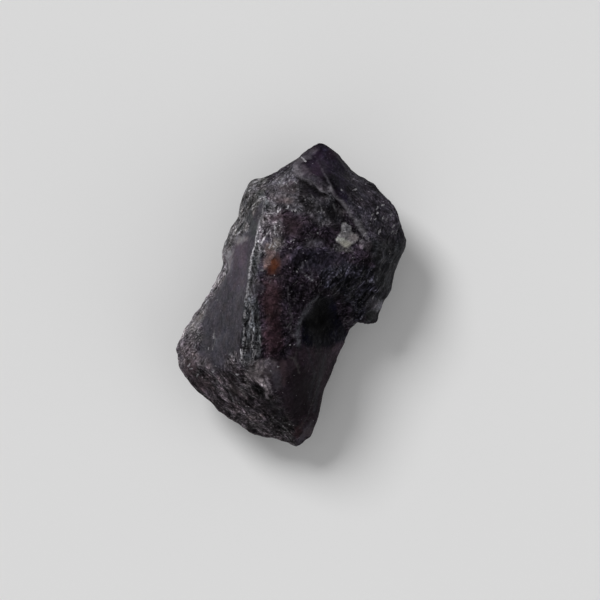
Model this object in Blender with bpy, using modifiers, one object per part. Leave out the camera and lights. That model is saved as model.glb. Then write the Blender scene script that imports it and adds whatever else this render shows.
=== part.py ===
"""Rough lump of massive amethyst, lying on its broadest fracture face.

Metres, +Z up. +Y runs along the lump, from the foot of the column to the peak. The origin is the middle of
the box round the lump, on the surface that it rests on. The lump is one solid. Its fracture faces are
triangles between the points where real edges and hollows run: an upper and a lower sheet that share the
girdle. They are then softened between their sharp edges, roughened, and cut flat where the lump rests.
"""

import math

import bmesh
import bpy
from mathutils import Vector, geometry, noise

# Driving dimensions of the whole lump.
LENGTH = 0.0604
WIDTH = 0.0460
HEIGHT = 0.0300

SUBDIVISIONS = 2
GIRDLE_CREASE = 0.3
EDGE_CREASE = {
    "crest": 0.8,
    "ledge": 0.6,
    "ledge_foot": 0.3,
    "lobe_edge": 0.4,
    "column_edge": 0.5,
    "hollow_lip": 0.6,
}
FOOT_CREASE = 0.6
SWELL_HEIGHT = 0.0006
SWELL_SPACING = 0.0080
CHIP_HEIGHT = 0.00025
CHIP_SPACING = 0.0026

COLOUR = (0.085, 0.070, 0.100, 1.0)
ROUGHNESS = 0.42
METALLIC = 0.0
SMOOTH_BELOW = math.radians(28.0)

# Points nearer than this are one point, and the triangles keep inside the border of their sheet.
NEAREST = 1e-7
INSIDE_THE_BORDER = 1

# The girdle is the line round the lump where it is widest, seen from above: x, y and height of each corner,
# clockwise from the peak.
GIRDLE = (
    (0.0055, 0.0302, 0.0135),  # peak
    (0.0083, 0.0286, 0.0125),
    (0.0113, 0.0251, 0.0100),  # neck below the peak
    (0.0151, 0.0231, 0.0115),
    (0.0177, 0.0206, 0.0140),  # right shoulder
    (0.0202, 0.0171, 0.0155),
    (0.0215, 0.0145, 0.0150),
    (0.0231, 0.0106, 0.0130),  # the widest point on the right
    (0.0224, 0.0082, 0.0110),
    (0.0211, 0.0054, 0.0090),
    (0.0202, 0.0006, 0.0085),
    (0.0184, -0.0024, 0.0105),
    (0.0180, -0.0047, 0.0118),  # knob
    (0.0163, -0.0071, 0.0115),
    (0.0141, -0.0063, 0.0100),
    (0.0123, -0.0067, 0.0085),  # notch under the knob
    (0.0108, -0.0097, 0.0070),
    (0.0087, -0.0142, 0.0075),
    (0.0067, -0.0192, 0.0090),
    (0.0055, -0.0234, 0.0100),
    (0.0044, -0.0274, 0.0095),
    (0.0031, -0.0294, 0.0085),
    (0.0013, -0.0308, 0.0080),  # foot of the column
    (-0.0029, -0.0294, 0.0075),
    (-0.0072, -0.0289, 0.0085),
    (-0.0105, -0.0269, 0.0110),
    (-0.0141, -0.0242, 0.0130),
    (-0.0181, -0.0205, 0.0120),
    (-0.0209, -0.0176, 0.0110),
    (-0.0226, -0.0144, 0.0125),
    (-0.0229, -0.0112, 0.0145),  # left lobe
    (-0.0220, -0.0081, 0.0150),
    (-0.0204, -0.0052, 0.0135),
    (-0.0173, -0.0012, 0.0115),
    (-0.0152, 0.0026, 0.0105),  # waist
    (-0.0137, 0.0056, 0.0110),
    (-0.0138, 0.0084, 0.0125),
    (-0.0127, 0.0112, 0.0145),
    (-0.0109, 0.0145, 0.0155),
    (-0.0101, 0.0180, 0.0145),
    (-0.0093, 0.0206, 0.0130),
    (-0.0082, 0.0225, 0.0115),  # upper left corner
    (-0.0064, 0.0233, 0.0110),
    (-0.0033, 0.0242, 0.0125),
    (-0.0006, 0.0253, 0.0135),
    (0.0018, 0.0273, 0.0140),
    (0.0038, 0.0290, 0.0140),
)

# Edges of the fracture faces on top, each a run of points.
TOP_EDGES = {
    "crest": (
        (-0.0055, 0.0196, 0.0215),
        (-0.0067, 0.0128, 0.0250),
        (-0.0083, 0.0048, 0.0275),
        (-0.0093, -0.0012, 0.0287),
        (-0.0097, -0.0072, 0.0290),
        (-0.0099, -0.0124, 0.0282),
        (-0.0067, -0.0154, 0.0262),
    ),
    "ledge": (
        (0.0007, 0.0248, 0.0185),
        (0.0033, 0.0224, 0.0218),
        (0.0077, 0.0202, 0.0230),
        (0.0107, 0.0162, 0.0232),
        (0.0141, 0.0118, 0.0222),
    ),
    "ledge_foot": (
        (-0.0002, 0.0237, 0.0184),
        (0.0026, 0.0214, 0.0207),
        (0.0070, 0.0192, 0.0216),
        (0.0098, 0.0154, 0.0219),
        (0.0134, 0.0110, 0.0212),
    ),
    "lobe_edge": (
        (-0.0203, -0.0144, 0.0160),
        (-0.0159, -0.0150, 0.0190),
        (-0.0113, -0.0148, 0.0232),
        (-0.0099, -0.0124, 0.0282),
    ),
    "column_edge": (
        (-0.0067, -0.0154, 0.0262),
        (-0.0035, -0.0188, 0.0228),
        (-0.0011, -0.0228, 0.0180),
        (0.0007, -0.0268, 0.0125),
    ),
    "hollow_lip": (
        (0.0087, 0.0010, 0.0232),
        (0.0057, 0.0008, 0.0248),
        (0.0033, -0.0012, 0.0252),
        (0.0023, -0.0052, 0.0250),
        (0.0019, -0.0102, 0.0232),
        (0.0053, -0.0118, 0.0185),
        (0.0077, -0.0114, 0.0135),
    ),
}
# Points inside the faces on top.
TOP_POINTS = {
    "rim": (
        (-0.0083, 0.0204, 0.0175),
        (-0.0079, 0.0168, 0.0212),
        (-0.0107, 0.0148, 0.0174),
        (-0.0127, 0.0088, 0.0166),
    ),
    "flute": (
        (-0.0097, 0.0112, 0.0208),
        (-0.0115, 0.0064, 0.0196),
        (-0.0129, 0.0008, 0.0188),
        (-0.0143, -0.0052, 0.0190),
        (-0.0157, -0.0104, 0.0186),
        (-0.0159, -0.0022, 0.0166),
        (-0.0193, -0.0088, 0.0166),
    ),
    "lower_left": (
        (-0.0133, -0.0202, 0.0165),
        (-0.0083, -0.0212, 0.0190),
        (-0.0059, -0.0258, 0.0132),
        (-0.0180, -0.0172, 0.0150),
    ),
    "column": (
        (0.0017, -0.0162, 0.0212),
        (0.0053, -0.0162, 0.0160),
        (0.0023, -0.0222, 0.0155),
        (0.0023, -0.0276, 0.0100),
    ),
    "front": (
        (-0.0023, 0.0138, 0.0248),
        (-0.0003, 0.0078, 0.0262),
        (-0.0033, -0.0012, 0.0278),
        (-0.0039, -0.0092, 0.0274),
        (-0.0013, -0.0142, 0.0246),
        (0.0047, 0.0108, 0.0244),
        (0.0067, 0.0058, 0.0246),
        (0.0107, 0.0098, 0.0229),
        (0.0014, 0.0184, 0.0226),
        (-0.0027, 0.0206, 0.0216),
        (0.0065, 0.0154, 0.0228),
    ),
    "hollow": (
        (0.0069, -0.0036, 0.0135),
        (0.0089, -0.0064, 0.0105),
    ),
    "streaks": (
        (0.0107, 0.0044, 0.0224),
        (0.0137, 0.0018, 0.0186),
        (0.0117, -0.0012, 0.0170),
        (0.0153, -0.0012, 0.0158),
        (0.0158, -0.0040, 0.0138),
    ),
    "cap": (
        (0.0053, 0.0264, 0.0168),
        (0.0087, 0.0232, 0.0190),
        (0.0117, 0.0204, 0.0192),
    ),
    "shoulder": (
        (0.0147, 0.0188, 0.0186),
        (0.0173, 0.0158, 0.0186),
        (0.0187, 0.0112, 0.0178),
    ),
    "right": (
        (0.0161, 0.0078, 0.0206),
        (0.0193, 0.0060, 0.0160),
        (0.0177, 0.0016, 0.0150),
    ),
}

# Underneath: the foot that the lump rests on, a little too low until it is cut flat, and the points between
# it and the girdle.
FOOT = (
    (0.0028, 0.0192, -0.0006),
    (0.0092, 0.0158, -0.0006),
    (0.0142, 0.0092, -0.0006),
    (0.0122, 0.0018, -0.0006),
    (0.0082, -0.0042, -0.0006),
    (0.0026, -0.0118, -0.0006),
    (0.0010, -0.0196, -0.0006),
    (-0.0062, -0.0212, -0.0006),
    (-0.0128, -0.0142, -0.0006),
    (-0.0118, -0.0058, -0.0006),
    (-0.0078, 0.0052, -0.0006),
    (-0.0052, 0.0148, -0.0006),
)
UNDER_POINTS = {
    "under_peak": ((0.0050, 0.0268, 0.0070), (0.0108, 0.0212, 0.0034), (0.0008, 0.0228, 0.0042)),
    "under_right": (
        (0.0188, 0.0162, 0.0078),
        (0.0202, 0.0104, 0.0052),
        (0.0176, 0.0036, 0.0030),
        (0.0150, -0.0026, 0.0054),
    ),
    "under_column": (
        (0.0098, -0.0062, 0.0028),
        (0.0062, -0.0134, 0.0026),
        (0.0044, -0.0212, 0.0052),
        (0.0010, -0.0270, 0.0044),
    ),
    "under_lobe": (
        (-0.0050, -0.0254, 0.0038),
        (-0.0112, -0.0222, 0.0066),
        (-0.0166, -0.0178, 0.0052),
        (-0.0206, -0.0128, 0.0082),
        (-0.0186, -0.0072, 0.0060),
    ),
    "under_flute": (
        (-0.0146, -0.0016, 0.0036),
        (-0.0118, 0.0060, 0.0058),
        (-0.0110, 0.0120, 0.0080),
        (-0.0086, 0.0182, 0.0046),
    ),
}


def as_held(place):
    """A place rounded to the 32-bit numbers that a mesh holds, so that it can be looked up."""
    return tuple(Vector(place))


def add_sheet(shape, girdle, runs, points):
    """Fill the girdle with triangles that follow the runs of points and pass through the single points.

    Each run comes with how sharp its edges are.
    """
    corners = {as_held(vertex.co): vertex for vertex in girdle}
    border = list(corners)
    for place in [place for run, crease in runs for place in run] + points:
        if as_held(place) not in corners:
            corners[as_held(place)] = shape.verts.new(place)
    places = list(corners)
    vertices = list(corners.values())
    edges = {}
    for run, crease in [(border + border[:1], GIRDLE_CREASE)] + runs:
        marks = [places.index(as_held(place)) for place in run]
        edges.update({pair: crease for pair in zip(marks, marks[1:])})
    flat = [Vector(place[:2]) for place in places]
    found = geometry.delaunay_2d_cdt(flat, list(edges), [], INSIDE_THE_BORDER, NEAREST)
    triangles, sources = found[2], found[3]
    for triangle in triangles:
        shape.faces.new(vertices[sources[corner][0]] for corner in triangle)
    sharpness = shape.edges.layers.float["crease_edge"]
    for pair, crease in edges.items():
        edge = shape.edges.get([vertices[mark] for mark in pair])
        edge[sharpness] = crease


def subdivided(shape):
    """The cage made soft between its creases, by a Subdivision Surface."""
    cage = bpy.data.meshes.new("cage")
    shape.to_mesh(cage)
    holder = bpy.data.objects.new("cage", cage)
    bpy.context.scene.collection.objects.link(holder)
    softened = holder.modifiers.new("soft", "SUBSURF")
    softened.levels = SUBDIVISIONS
    softened.render_levels = SUBDIVISIONS
    evaluated = holder.evaluated_get(bpy.context.evaluated_depsgraph_get())
    shape.clear()
    shape.from_mesh(evaluated.to_mesh())
    evaluated.to_mesh_clear()
    bpy.data.objects.remove(holder)
    bpy.data.meshes.remove(cage)


def roughen(shape):
    """Broad swells and small chips, along the way that each point faces."""
    shape.normal_update()
    for vertex in shape.verts:
        swell = SWELL_HEIGHT * noise.noise(vertex.co / SWELL_SPACING)
        chip = CHIP_HEIGHT * noise.noise(vertex.co / CHIP_SPACING)
        vertex.co += vertex.normal * (swell + chip)


def cut_foot(shape):
    """Cut the lump flat on the surface that it rests on."""
    everything = shape.verts[:] + shape.edges[:] + shape.faces[:]
    cut = bmesh.ops.bisect_plane(
        shape, geom=everything, dist=NEAREST, plane_co=(0, 0, 0), plane_no=(0, 0, -1), clear_outer=True
    )
    rim = [part for part in cut["geom_cut"] if isinstance(part, bmesh.types.BMEdge)]
    bmesh.ops.edgeloop_fill(shape, edges=rim)
    bmesh.ops.triangulate(shape, faces=[face for face in shape.faces if len(face.verts) > 3])


def fit_to_size(shape):
    """Bring the lump to its driving dimensions, with the origin at the middle of its foot side."""
    spans = [[vertex.co[axis] for vertex in shape.verts] for axis in range(3)]
    low = Vector([min(span) for span in spans])
    high = Vector([max(span) for span in spans])
    middle = Vector(((low.x + high.x) / 2, (low.y + high.y) / 2, low.z))
    for vertex in shape.verts:
        place = vertex.co - middle
        vertex.co = Vector(
            (
                place.x * WIDTH / (high.x - low.x),
                place.y * LENGTH / (high.y - low.y),
                place.z * HEIGHT / (high.z - low.z),
            )
        )


def amethyst_mesh():
    shape = bmesh.new()
    shape.edges.layers.float.new("crease_edge")
    girdle = [shape.verts.new(place) for place in GIRDLE]
    top_runs = [(run, EDGE_CREASE[name]) for name, run in TOP_EDGES.items()]
    add_sheet(shape, girdle, top_runs, [place for group in TOP_POINTS.values() for place in group])
    foot_run = [(FOOT + FOOT[:1], FOOT_CREASE)]
    add_sheet(shape, girdle, foot_run, [place for group in UNDER_POINTS.values() for place in group])
    bmesh.ops.recalc_face_normals(shape, faces=shape.faces)
    subdivided(shape)
    roughen(shape)
    cut_foot(shape)
    fit_to_size(shape)
    bmesh.ops.recalc_face_normals(shape, faces=shape.faces)
    mesh = bpy.data.meshes.new("amethyst")
    shape.to_mesh(mesh)
    shape.free()
    mesh.shade_smooth()
    mesh.set_sharp_from_angle(angle=SMOOTH_BELOW)
    return mesh


def amethyst_material():
    material = bpy.data.materials.new("amethyst")
    material.use_nodes = True
    surface = material.node_tree.nodes["Principled BSDF"]
    surface.inputs["Base Color"].default_value = COLOUR
    surface.inputs["Roughness"].default_value = ROUGHNESS
    surface.inputs["Metallic"].default_value = METALLIC
    return material


def main():
    for obj in list(bpy.data.objects):
        bpy.data.objects.remove(obj)
    collection = bpy.data.collections.new("amethyst_lump")
    bpy.context.scene.collection.children.link(collection)
    lump = bpy.data.objects.new("amethyst", amethyst_mesh())
    lump.data.materials.append(amethyst_material())
    collection.objects.link(lump)


main()
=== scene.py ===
"""Rough lump of dark amethyst: its broken surface, its finish, and the stage it lies on.

Metres, +Z up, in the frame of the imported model. The lump lies on a flat face, under the camera.
"""

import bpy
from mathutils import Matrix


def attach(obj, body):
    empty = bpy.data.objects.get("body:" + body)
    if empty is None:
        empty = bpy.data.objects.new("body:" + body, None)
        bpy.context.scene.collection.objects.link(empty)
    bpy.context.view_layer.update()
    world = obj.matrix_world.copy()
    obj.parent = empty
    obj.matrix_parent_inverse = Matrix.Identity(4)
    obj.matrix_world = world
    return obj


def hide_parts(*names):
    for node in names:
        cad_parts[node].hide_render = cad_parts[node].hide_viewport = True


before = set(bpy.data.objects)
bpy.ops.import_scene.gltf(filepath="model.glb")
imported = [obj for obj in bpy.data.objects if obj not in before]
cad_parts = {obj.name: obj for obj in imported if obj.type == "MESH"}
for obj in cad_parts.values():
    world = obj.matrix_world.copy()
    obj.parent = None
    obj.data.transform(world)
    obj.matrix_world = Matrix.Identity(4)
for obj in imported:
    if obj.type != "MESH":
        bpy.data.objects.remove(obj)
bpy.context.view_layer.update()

import math
import random

import bmesh
import bpy
import numpy as np
from bpy.props import FloatProperty, FloatVectorProperty, IntProperty, PointerProperty
from mathutils import Vector, kdtree, noise

bl_info = {
    "name": "Amethyst Lump",
    "version": (1, 0, 0),
    "blender": (4, 5, 0),
    "location": "3D View > Sidebar > Amethyst",
    "description": "Models a rough lump of amethyst around its packed solid",
    "category": "Add Mesh",
}

NODE = "amethyst"
MM = 0.001

# The broken surface stands out this far from the solid, in millimetres.
SKIN = 0.12
# Half the width of a single painted glint, in millimetres.
GLINT_HALF_WIDTH = 0.16
# Headings in degrees of the streaks that LEANS hands out, and how far they are drawn out.
STREAK_HEADINGS = (-46.0, 55.0, 100.0)
STREAK_STRETCH = (4.2, 1.0, 2.0)
# Colours of the finish's short strokes, its painted glints and its pale lines, which are partly painted
# highlights.
STROKE_COLOUR = (0.175, 0.173, 0.18, 1.0)
GLINT_COLOUR = (0.8, 0.78, 0.82)
LINE_COLOUR = (0.6, 0.58, 0.62)
# Noise of the finish: bumps to a metre.
GRAIN, DRAWN_GRAIN = 1500.0, 1700.0
MOTTLE, DRAWN_MOTTLE = 620.0, 760.0
SPARKS, PITS, STROKES, BENDS = 2600.0, 1900.0, 1600.0, 320.0
# The stage: the floor's radius and the point that the camera stands over, in metres, then how bright the
# surroundings are as a light and as they are seen.
FLOOR_RADIUS = 20.0
CENTRE = (0.0017, -0.0012, 0.013)
SKY_STRENGTH = 0.2
WALL_COLOUR = (0.694, 0.694, 0.694, 1.0)

# Lines and patches of the surface, seen from above: x and y in millimetres. Where patches overlap, the one
# that is named first has the ground.
CREST = (
    (-5.3, 19.4), (-5.7, 16), (-6.7, 12.6), (-7.25, 9.6), (-7.8, 7.4), (-8.1, 4.8), (-8.9, -1.2),
    (-9.4, -7.2), (-9.7, -12.8),
)
LEDGE = (
    (0.5, 25.6), (0.6, 24.2), (0.9, 23.5), (2.4, 22.8), (3.6, 22.5), (4.7, 21.7), (5.8, 20.4), (7.3, 20.1),
    (7.9, 20.4), (8.6, 19.2), (10, 18.1), (11, 16.9), (11.8, 15.5), (12.7, 14.1), (13.8, 12.7),
    (14.7, 11.2),
)
LIP = ((5.1, -0.3), (4, -1.5), (2.8, -3.6), (1.8, -5.4), (1.2, -7.4), (1.2, -10))
CAP_LINE = ((5.2, 26.4), (6, 24.7), (6.8, 23.1), (7.8, 21.2))
# Ridges: their run, height and half width in millimetres.
RIDGES = ((CREST, 0.28, 0.55), (LIP, 0.3, 0.5), (CAP_LINE, 0.12, 0.3))
PATCHES = {
    "foot": (
        (-13.3, -12.6), (-12, -11.6), (-10.6, -11), (-9.8, -11.4), (-9.6, -14.2), (-11, -15), (-13, -14.6),
    ),
    "lilac": (
        (-11.9, 9.2), (-11.2, 10.8), (-10.2, 11.5), (-9.2, 11.4), (-8.6, 10.6), (-8.5, 9), (-8.8, 6),
        (-9.2, 2), (-10.5, 0.4), (-12.4, 0.8), (-13.1, 3.8), (-12.6, 6.6),
    ),
    "flute": (
        (-5.4, 19.4), (-5.7, 16), (-6.7, 12.6), (-7.4, 9.6), (-7.9, 7.4), (-8.2, 4.8), (-9.3, -1.2),
        (-9.8, -7.2), (-10.3, -13.4), (-15.3, -15), (-18.4, -12), (-17.2, -3.4), (-13.1, 3.8), (-13.1, 6.4),
        (-11.9, 9.4), (-9.3, 11.9), (-8.6, 12.6), (-7.6, 15), (-6.7, 17.3),
    ),
    "rim": (
        (-11.1, 24.8), (-5.1, 23.4), (-5.5, 19.4), (-6.7, 17.1), (-7.6, 14.8), (-8.6, 12.5), (-9.3, 11.8),
        (-10.6, 11.7), (-12, 9.8), (-13.2, 6.4), (-17.3, 3.8), (-17.3, 18.8),
    ),
    "waist": ((-13.1, 6.4), (-13.1, 3.8), (-17.2, -3.4), (-18.4, -9.2), (-25, -9.2), (-20, 6)),
    "lobe": (
        (-18.4, -9.2), (-18.4, -12), (-15.3, -15), (-21.1, -14.4), (-20.3, -18.2), (-25, -17), (-25, -8),
    ),
    "rust": ((-2.5, 8.8), (-2.1, 6.4), (-2.2, 4.2), (-3.2, 3.7), (-4.7, 3.8), (-5.1, 5), (-4, 6.3)),
    "glitter": (
        (-5.9, 16.4), (-2.3, 17.2), (-1.7, 12.8), (-2.3, 9), (-5.3, 7.6), (-6.7, 8.8), (-6.3, 12.8),
    ),
    "crest_band": (
        (-5.5, 19.6), (-4.3, 18.4), (-4.7, 14.4), (-5.5, 10.8), (-6.3, 6.4), (-7.1, 0.8), (-6.3, -3.2),
        (-5.9, -9.2), (-6.1, -11.5), (-6.9, -13.6), (-7.6, -14.9), (-8.5, -14.7), (-9.6, -13.2),
        (-9.7, -7.2), (-9.3, -1.2), (-8.3, 4.8), (-6.7, 12.8),
    ),
    "lower_left": (
        (-21.1, -14.8), (-15.3, -15.4), (-10.3, -14.8), (-6.7, -15.8), (-3.9, -19.2), (-1.3, -22.8),
        (0.3, -26.2), (0.9, -31), (-12.3, -31), (-25, -18.2),
    ),
    "column": (
        (-6.7, -15.4), (1.7, -10.2), (6.7, -11.2), (12, -9.2), (9, -16.2), (4, -31), (1.7, -30),
        (0.7, -26.2), (-1.3, -22.2), (-3.9, -18.4),
    ),
    # The hollow's patch, painted nearly black as shade over the stone's dark colour.
    "hollow": (
        (6.2, -0.2), (5, -0.7), (4.2, -1.9), (3.1, -3.9), (2.3, -5.9), (2.1, -8), (2.2, -10.2),
        (5.3, -10.8), (8.7, -10.4), (11.4, -8.4), (9.6, -5), (9.2, -2.6), (8.4, -0.8),
    ),
    "streaks": (
        (5.7, 4.4), (10.7, 6.4), (16.7, 5.2), (17.7, -1.2), (16.1, -3.2), (13, -6), (11.7, -2.2),
        (8.7, 0.8), (5.7, 0.8),
    ),
    "brow": (
        (-5.1, 22.4), (0.3, 25.8), (3.3, 22.4), (7.7, 20.2), (10.7, 16.2), (8.7, 13.2), (5.3, 13.8),
        (3.7, 15.2), (1.7, 16.2), (-1.5, 16.8), (-4.7, 15.4), (-4.3, 18.8),
    ),
    "plate": (
        (0.3, 26.2), (1.8, 26.3), (3.3, 24.4), (5.3, 23.2), (6.9, 21.9), (8.1, 20.5), (7.8, 20.3),
        *LEDGE[7:1:-1],
    ),
    "wedge": (
        (6.1, 28.8), (7.5, 29.8), (9.5, 28.6), (10.9, 25.8), (10.7, 21), (11.3, 17.8), (9.9, 18.6),
        (8.7, 20.4), (7.1, 23.6), (5.7, 26.8),
    ),
    "cap": ((-0.5, 26.2), (5.5, 31), (10.7, 25.8), (10.7, 16.2), (7.7, 20.2), (3.3, 22.4)),
    "shoulder": ((10.7, 25.8), (10.7, 16.2), (15.3, 10.2), (24, 10.8), (22, 22.8)),
    "right": ((15.3, 10.2), (24, 10.8), (22, -1.2), (18, -7.2), (16.1, -3.2), (17.7, -1.2), (16.7, 5.2)),
}
# Pale broken edges, partly painted highlights where the edges and the brightest strokes catch the light:
# their run, half their width in millimetres, and how pale they are.
PALE_LINES = (
    (CREST[:3], 0.12, 0.45),
    (CREST[2:6], 0.13, 1),
    (CREST[5:7], 0.11, 0.8),
    (CREST[6:], 0.11, 0.5),
    (((-6.7, 10.1), (-6.4, 10.9)), 0.13, 1.6),
    (((-6.1, 9.9), (-5.5, 11.1)), 0.17, 1.6),
    (((-5.3, 11.3), (-4.6, 12.4)), 0.16, 0.8),
    (((-5.7, 15.2), (-5.9, 13.1), (-6.3, 11.3)), 0.11, 0.45),
    (((-3.3, 13.9), (-3.2, 11.4)), 0.14, 0.75),
    (((-8, 7), (-8.9, 0.4), (-8.7, -2)), 0.07, 0.45),
    (((-7.9, -0.6), (-8.3, -2.4), (-8, -4.4), (-8.4, -6.2)), 0.14, 0.5),
    (((-7.6, -8), (-7.8, -10.2), (-7.2, -11.8), (-7.7, -14)), 0.12, 0.45),
    (((-9.2, -8.4), (-8.9, -10.2), (-9.3, -12.2)), 0.12, 0.5),
    (((1.6, 27.7), (2.8, 26.3)), 0.17, 0.8),
    (((3.9, 19.6), (5.7, 17.8), (6.9, 14.4)), 0.08, 0.2),
    (((-12.5, 8.4), (-12.9, 6.8), (-12.8, 5.2)), 0.3, 0.5),
    (((-6.6, 6.8), (-6.4, 6.3)), 0.26, 0.24),
    (((-6.1, 4.8), (-5.6, 4.6)), 0.24, 0.3),
    (((-15.4, -7.2), (-15.2, -9.2), (-15.8, -11.2)), 0.14, 0.24),
    (((-16.7, -2), (-17.8, -5.6)), 0.16, 0.3),
    (((-11.8, -5.4), (-10.4, -7.8)), 0.06, 0.18),
    (((-14.8, -17.2), (-12.6, -19.2), (-11.2, -21.8)), 0.13, 0.2),
    (((-10.6, -21), (-9.2, -23.4), (-7.6, -24.8)), 0.12, 0.2),
    (((-12.2, -15.6), (-10.8, -16.6), (-9.6, -18.4)), 0.1, 0.2),
    (((-3.8, -24.4), (-1.8, -26.4), (0.2, -28.6)), 0.11, 0.22),
    (((-17.8, -14.6), (-15.6, -16.2), (-14.6, -18)), 0.1, 0.17),
    (((-7.8, -17.2), (-6.4, -19.8), (-6, -22.2)), 0.07, 0.14),
    (((1.4, -27), (3.2, -24.4), (4.8, -19.4), (7, -14.6)), 0.1, 0.07),
    (((8.6, 10.2), (10.4, 8.6), (12.6, 7.8)), 0.1, 0.14),
    (((8, 6.6), (10.4, 3.2), (11.4, 0.6)), 0.08, 0.12),
    (((12.4, 6.2), (14.6, 3), (15.6, -0.6)), 0.08, 0.12),
)
# Soft wisps: their run, half width in millimetres, colour and strength. The pale ones along the crest and
# the ledge are partly painted highlights where those edges catch the light.
WISPS = (
    (CREST[:4], 0.17, (0.125, 0.122, 0.13), 0.65),
    (CREST[3:6], 0.15, (0.16, 0.155, 0.165), 0.8),
    (CREST[5:7], 0.22, (0.13, 0.126, 0.138), 0.75),
    (((2.3, 6.1), (2, 4.6), (3.2, 3.3), (4.3, 2.6)), 0.18, (0.066, 0.062, 0.074), 0.75),
    (((3.1, 6.4), (3.4, 5), (4.2, 3.9), (4, 2.8)), 0.16, (0.056, 0.053, 0.064), 0.7),
    (((2.5, 9.2), (4.2, 10.8), (5, 9.6), (6, 9.4)), 0.18, (0.072, 0.067, 0.078), 0.75),
    (((3.3, 22.5), (4, 22)), 0.26, (0.1, 0.093, 0.106), 0.7),
    (((0.9, 25.2), (1.3, 24.2), (2, 23.8)), 0.45, (0.165, 0.15, 0.17), 0.85),
    (((7.6, 20.9), (8, 20.3)), 0.26, (0.165, 0.155, 0.172), 0.9),
    (((9.6, 18.6), (10.9, 17), (12, 15.2), (12.8, 14.2)), 0.26, (0.108, 0.101, 0.113), 0.9),
    (((12.9, 14.5), (13.5, 13.5), (14.5, 12)), 0.45, (0.112, 0.107, 0.116), 0.85),
    (CAP_LINE[:2], 0.12, (0.05, 0.045, 0.056), 0.5),
    (CAP_LINE[1:], 0.16, (0.078, 0.072, 0.086), 0.65),
    (LIP[:3], 0.28, (0.044, 0.044, 0.052), 0.9),
    (LIP[2:], 0.5, (0.052, 0.052, 0.06), 0.9),
    (((-8.8, -15.9), (-7.8, -16.3), (-6.9, -16.8)), 0.5, (0.2, 0.175, 0.184), 0.85),
    (((-7.2, -16.6), (-6, -17.4)), 0.38, (0.215, 0.188, 0.2), 0.95),
    (((-5.7, -17.3), (-4.9, -18.7)), 0.19, (0.21, 0.184, 0.196), 0.95),
    (((-5.1, -18.5), (-4.9, -19.6), (-4.9, -20.8)), 0.14, (0.13, 0.114, 0.124), 0.85),
    (((-5.2, -16.4), (-4.6, -17.8), (-4.3, -18.5)), 0.24, (0.18, 0.157, 0.176), 0.9),
    (((-4.4, -18.2), (-3.9, -19.6)), 0.14, (0.2, 0.174, 0.195), 0.9),
    (((-6.6, -13.4), (-6.9, -14.4), (-6.8, -15.6)), 0.2, (0.2, 0.176, 0.184), 0.85),
    (((-5.6, -13.6), (-5.9, -15.2), (-6.4, -16.2)), 0.26, (0.17, 0.148, 0.157), 0.85),
    (((-8.2, -14.6), (-7.9, -15.8)), 0.2, (0.12, 0.105, 0.11), 0.7),
    (((-3.6, -13.2), (-3.3, -14.4)), 0.22, (0.09, 0.075, 0.085), 0.7),
    (((-1.6, -13.4), (-1.5, -15.6), (-1.6, -18)), 0.42, (0.04, 0.027, 0.033), 0.7),
    (((-3.2, -15.8), (-2.9, -18.2)), 0.6, (0.046, 0.041, 0.051), 0.8),
    (((-9.3, -17), (-8.7, -18.4)), 0.24, (0.085, 0.078, 0.08), 0.8),
    (((-10.2, -18.8), (-9.2, -20.4)), 0.3, (0.085, 0.078, 0.08), 0.8),
    (((-0.6, -12.4), (0.3, -12.8), (1, -14.2), (1.5, -15.6)), 0.16, (0.056, 0.052, 0.052), 0.7),
    (((0.9, -11.6), (0.8, -13.2), (1.6, -14.6)), 0.14, (0.046, 0.042, 0.044), 0.6),
    (((-5.2, 3.5), (-3.4, 3.2), (-1.8, 3.6)), 0.14, (0.07, 0.056, 0.062), 0.7),
    (((-0.8, 1.4), (-0.5, -2.2), (0.1, -4.6)), 0.15, (0.056, 0.05, 0.058), 0.75),
    (((0.1, -4.6), (-0.2, -6.8), (0.5, -8.6)), 0.2, (0.06, 0.055, 0.062), 0.7),
    (((3.1, -10.8), (4.6, -16.2), (3.4, -21)), 0.22, (0.022, 0.021, 0.026), 0.6),
    (((6.6, -12.2), (5.4, -17.4), (4.4, -23.4)), 0.3, (0.026, 0.026, 0.031), 0.6),
)
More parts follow.
